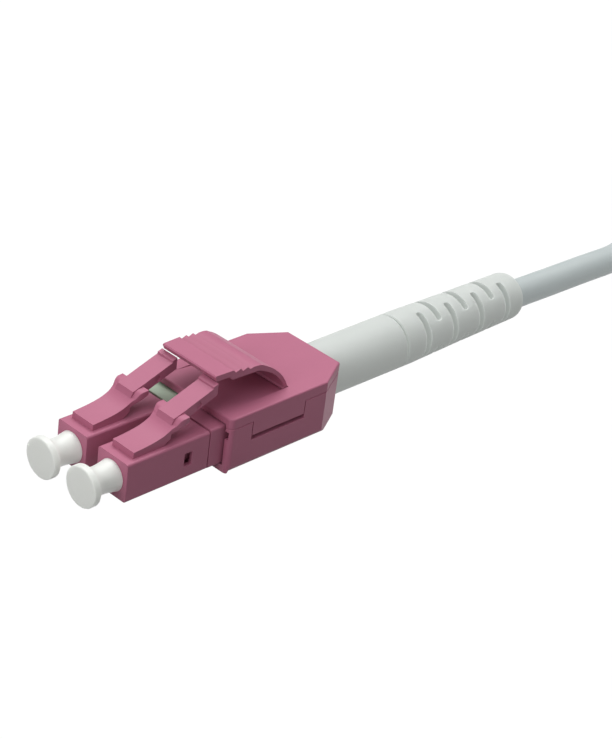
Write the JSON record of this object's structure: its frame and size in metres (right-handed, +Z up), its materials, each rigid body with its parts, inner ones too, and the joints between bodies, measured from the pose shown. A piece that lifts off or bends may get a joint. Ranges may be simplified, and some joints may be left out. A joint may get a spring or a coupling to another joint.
{
  "type": "duplex LC fibre connector",
  "caption": "Duplex LC fibre plug with a press trigger over its latches, dust caps, and one strain boot on a single round cable.",
  "frame": {"origin": "middle of the flat base of the lower shell", "axes": "+X from the ferrules towards the cable, along the ferrule axes; +Z up, towards the latches; +Y across the plug pair"},
  "size_m": [0.1574, 0.0331, 0.0146],
  "materials": {
    "violet_housing": "fine moulded satin",
    "grey_collar": "fine moulded satin",
    "white_cap": "waxy moulded polyethylene",
    "white_boot": "soft moulded elastomer",
    "cable_jacket": "extruded jacket, satin",
    "zirconia": "polished white ceramic",
    "plated_metal": "turned and nickel plated",
    "spring_steel": "drawn stainless wire",
    "fibre_buffer": "extruded tight buffer",
    "tie": "moulded nylon"
  },
  "bodies": {
    "connector": {"shell_bottom": "violet_housing", "shell_top": "violet_housing", "crimp_body": "plated_metal", "crimp_ring": "plated_metal", "boot_sleeve": "white_boot", "strain_boot": "white_boot", "cable_in_boot": "cable_jacket", "cable": "cable_jacket", "cable_hank": "cable_jacket", "hank_tie": "tie", "bare_fibre_ends": "fibre_buffer", "plug_housing_left": "violet_housing", "rear_body_left": "violet_housing", "fibre_left": "fibre_buffer", "ferrule_spring_left": "spring_steel", "plug_housing_right": "violet_housing", "rear_body_right": "grey_collar", "fibre_right": "fibre_buffer", "ferrule_spring_right": "spring_steel"},
    "trigger": {"trigger": "violet_housing"},
    "latch_left": {"latch_arm_left": "violet_housing"},
    "cap_left": {"dust_cap_left": "white_cap"},
    "ferrule_assembly_left": {"ferrule_left": "zirconia", "ferrule_flange_left": "plated_metal"},
    "latch_right": {"latch_arm_right": "violet_housing"},
    "cap_right": {"dust_cap_right": "white_cap"},
    "ferrule_assembly_right": {"ferrule_right": "zirconia", "ferrule_flange_right": "plated_metal"}
  },
  "joints": [
    {"name": "trigger_press", "type": "hinge", "parent": "connector", "child": "trigger", "pos_m": [0.00035, 0, 0.0064], "axis": [0, -1, 0], "range_deg": [0, 10], "stiffness_Nm_per_rad": 0.004},
    {"name": "latch_left_press", "type": "hinge", "parent": "connector", "child": "latch_left", "pos_m": [-0.01705, -0.00313, 0.00603], "axis": [0, 1, 0], "range_deg": [0, 13.2], "stiffness_Nm_per_rad": 0.002},
    {"name": "cap_left_pull", "type": "slide", "parent": "connector", "child": "cap_left", "axis": [-1, 0, 0], "range_m": [0, 0.006]},
    {"name": "ferrule_left_float", "type": "slide", "parent": "connector", "child": "ferrule_assembly_left", "axis": [1, 0, 0], "range_m": [0, 0.0008], "stiffness_N_per_m": 600, "deforming": ["ferrule_spring_left"]},
    {"name": "latch_right_press", "type": "hinge", "parent": "connector", "child": "latch_right", "pos_m": [-0.01705, 0.00313, 0.00603], "axis": [0, 1, 0], "range_deg": [0, 13.2], "stiffness_Nm_per_rad": 0.002},
    {"name": "cap_right_pull", "type": "slide", "parent": "connector", "child": "cap_right", "axis": [-1, 0, 0], "range_m": [0, 0.006]},
    {"name": "ferrule_right_float", "type": "slide", "parent": "connector", "child": "ferrule_assembly_right", "axis": [1, 0, 0], "range_m": [0, 0.0008], "stiffness_N_per_m": 600, "deforming": ["ferrule_spring_right"]}
  ],
  "couplings": [
    {"joint": "latch_left_press", "follows": "trigger_press", "ratio": 1.3},
    {"joint": "latch_right_press", "follows": "trigger_press", "ratio": 1.3}
  ]
}
